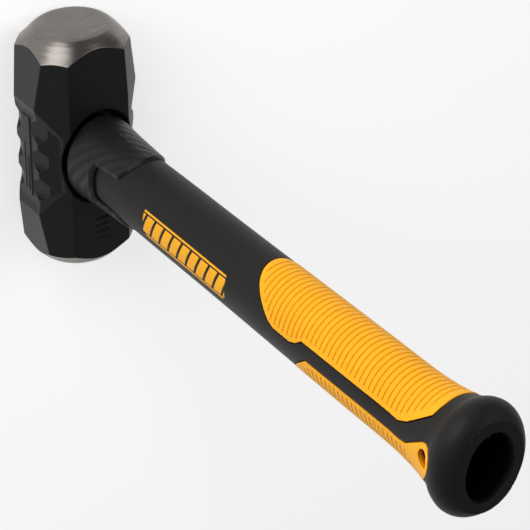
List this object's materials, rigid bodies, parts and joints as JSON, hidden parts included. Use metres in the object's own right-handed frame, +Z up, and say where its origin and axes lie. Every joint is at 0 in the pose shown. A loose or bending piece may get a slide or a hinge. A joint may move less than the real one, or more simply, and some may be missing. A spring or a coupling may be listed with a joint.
{
  "type": "sledgehammer",
  "caption": "Short double-faced sledgehammer: octagonal forged head with domed-edge striking faces on a black overmoulded composite handle with yellow ribbed grip pads and a hollow flared butt.",
  "frame": {"origin": "middle of the head's flat crown, the face opposite the handle, which the hammer stands on", "axes": "+Z up the handle from the head to the butt, +X from striking face to striking face towards the side of the handle with the long palm pad, +Y from cheek to cheek"},
  "size_m": [0.132, 0.0604, 0.352],
  "materials": {
    "head_coating": "forged steel under a fine matt black coating, with the chamfers and striking faces ground to bare brushed steel",
    "bond_resin": "amber epoxy, slightly glossy",
    "seal_resin": "black epoxy",
    "fibreglass": "pultruded glass fibre, satin",
    "carbon_composite": "carbon composite, satin",
    "collar_composite": "black composite with a diagonal twill look, satin",
    "grip_rubber": "matt black rubber with a fine spark-eroded grain",
    "pad_rubber": "soft yellow rubber, ribbed",
    "band_rubber": "yellow rubber inlay, smooth",
    "plug_plastic": "matt black plastic"
  },
  "bodies": {
    "root": {"head": "head_coating", "eye_bond": "bond_resin", "mouth_seal": "seal_resin", "fibreglass_core": "fibreglass", "composite_sleeve": "carbon_composite", "overstrike_collar": "collar_composite", "grip_sleeve": "grip_rubber", "butt_cap": "grip_rubber", "palm_pad": "pad_rubber", "finger_pad": "pad_rubber", "side_bands": "band_rubber", "core_end_plug": "plug_plastic"}
  },
  "joints": []
}
